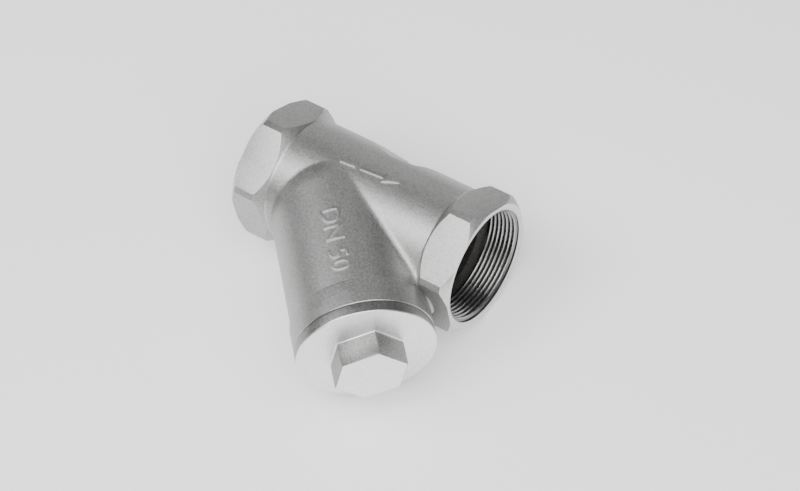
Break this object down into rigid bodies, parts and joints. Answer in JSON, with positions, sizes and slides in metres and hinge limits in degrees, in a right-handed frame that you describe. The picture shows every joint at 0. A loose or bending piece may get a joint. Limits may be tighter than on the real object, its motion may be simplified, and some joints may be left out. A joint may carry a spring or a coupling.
{
  "type": "y strainer",
  "caption": "Y-pattern pipe strainer: a straight run with hexagonal internally threaded ends and an angled branch that holds a removable tubular screen behind a screw-in hex cap.",
  "frame": {"origin": "centre of the inlet face, on the axis of the run", "axes": "+X along the run from inlet to outlet; the branch leaves in the XY plane, towards +X and -Y; +Z is normal to that plane, out of the side with the flow arrow"},
  "size_m": [0.1315, 0.126, 0.073],
  "materials": {
    "cast_steel": "investment cast stainless steel, shot blasted matte grey",
    "cap_steel": "cast stainless steel, fine blasted, with a lighter face",
    "gasket_ptfe": "white sealing sheet",
    "screen_sheet": "thin rolled stainless sheet",
    "screen_wire": "woven stainless wire cloth"
  },
  "bodies": {
    "casting": {"body_casting": "cast_steel"},
    "screen": {"screen_tube": "screen_sheet", "screen_mesh": "screen_wire", "screen_seat_ring": "screen_sheet", "screen_cap_ring": "screen_sheet"},
    "gasket": {"cap_gasket": "gasket_ptfe"},
    "cap": {"plug_cap": "cap_steel"}
  },
  "joints": [
    {"name": "screen_withdraw", "type": "slide", "parent": "casting", "child": "screen", "axis": [0.7071, -0.7071, 0], "range_m": [0, 0.1]},
    {"name": "cap_travel", "type": "slide", "parent": "screen", "child": "gasket", "axis": [0.7071, -0.7071, 0], "range_m": [0, 0.012]},
    {"name": "cap_turn", "type": "hinge", "parent": "gasket", "child": "cap", "pos_m": [0.10334, -0.06534, 0], "axis": [0.7071, -0.7071, 0], "range_deg": [0, 2160]}
  ],
  "couplings": [
    {"joint": "cap_travel", "follows": "cap_turn", "m_per_rad": 0.00031831}
  ]
}
